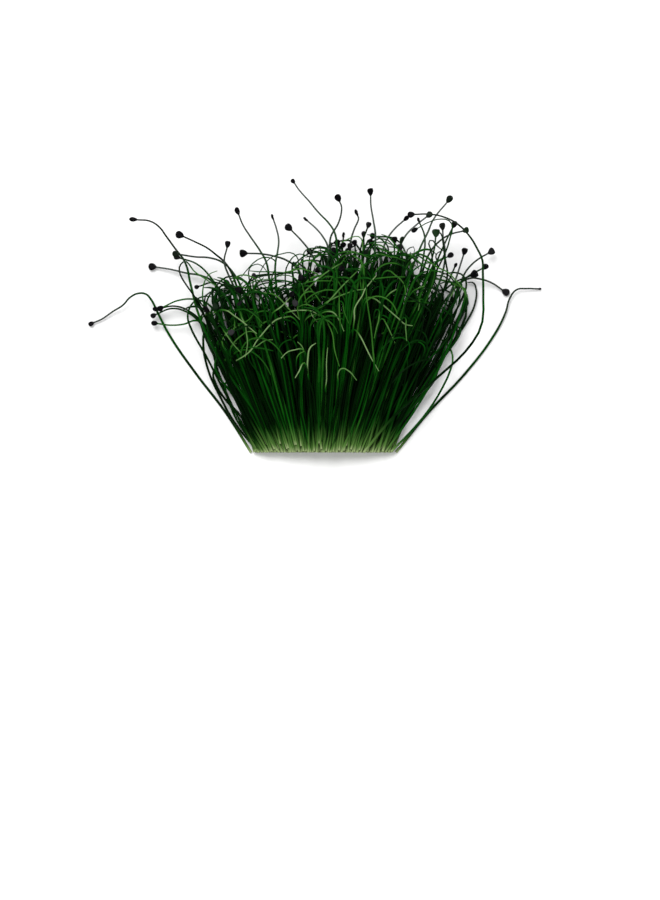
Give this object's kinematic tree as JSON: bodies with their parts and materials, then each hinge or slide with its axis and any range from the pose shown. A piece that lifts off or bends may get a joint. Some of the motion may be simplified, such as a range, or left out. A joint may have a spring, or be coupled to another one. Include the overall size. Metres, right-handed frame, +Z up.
{
  "type": "chive sprout bunch",
  "caption": "Loose bunch of cut chive sprouts lying on its side, thin green stems fanning out to hooked tips that hold small black seed hulls.",
  "frame": {"origin": "middle of the bunch's box, on the surface that it lies on", "axes": "+Z is up off the surface, +Y runs from the cut ends to the tips, +X is across the fan, the longest side"},
  "size_m": [0.1998, 0.1188, 0.0389],
  "materials": {
    "sprout_green": "smooth fresh green stem, paler at the cut end and greyer near the seed",
    "tuft_green": "smooth fresh green stems, pale at the cut ends",
    "seed_black": "dry wrinkled black seed hull"
  },
  "bodies": {
    "root": {"sprout_01": "sprout_green", "seed_hull_01": "seed_black", "sprout_02": "sprout_green", "seed_hull_02": "seed_black", "sprout_03": "sprout_green", "seed_hull_03": "seed_black", "sprout_04": "sprout_green", "seed_hull_04": "seed_black", "sprout_05": "sprout_green", "seed_hull_05": "seed_black", "sprout_06": "sprout_green", "seed_hull_06": "seed_black", "sprout_07": "sprout_green", "seed_hull_07": "seed_black", "sprout_08": "sprout_green", "seed_hull_08": "seed_black", "sprout_09": "sprout_green", "seed_hull_09": "seed_black", "sprout_10": "sprout_green", "seed_hull_10": "seed_black", "sprout_11": "sprout_green", "seed_hull_11": "seed_black", "sprout_12": "sprout_green", "seed_hull_12": "seed_black", "sprout_13": "sprout_green", "seed_hull_13": "seed_black", "sprout_14": "sprout_green", "seed_hull_14": "seed_black", "sprout_15": "sprout_green", "seed_hull_15": "seed_black", "sprout_16": "sprout_green", "seed_hull_16": "seed_black", "sprout_17": "sprout_green", "seed_hull_17": "seed_black", "sprout_18": "sprout_green", "seed_hull_18": "seed_black", "sprout_19": "sprout_green", "seed_hull_19": "seed_black", "sprout_20": "sprout_green", "seed_hull_20": "seed_black", "sprout_21": "sprout_green", "seed_hull_21": "seed_black", "sprout_22": "sprout_green", "seed_hull_22": "seed_black", "sprout_23": "sprout_green", "seed_hull_23": "seed_black", "sprout_24": "sprout_green", "seed_hull_24": "seed_black", "sprout_25": "sprout_green", "seed_hull_25": "seed_black", "sprout_26": "sprout_green", "seed_hull_26": "seed_black", "sprout_27": "sprout_green", "seed_hull_27": "seed_black", "sprout_28": "sprout_green", "tuft_01": "tuft_green", "tuft_02": "tuft_green", "tuft_03": "tuft_green", "tuft_04": "tuft_green", "tuft_05": "tuft_green"}
  },
  "joints": []
}
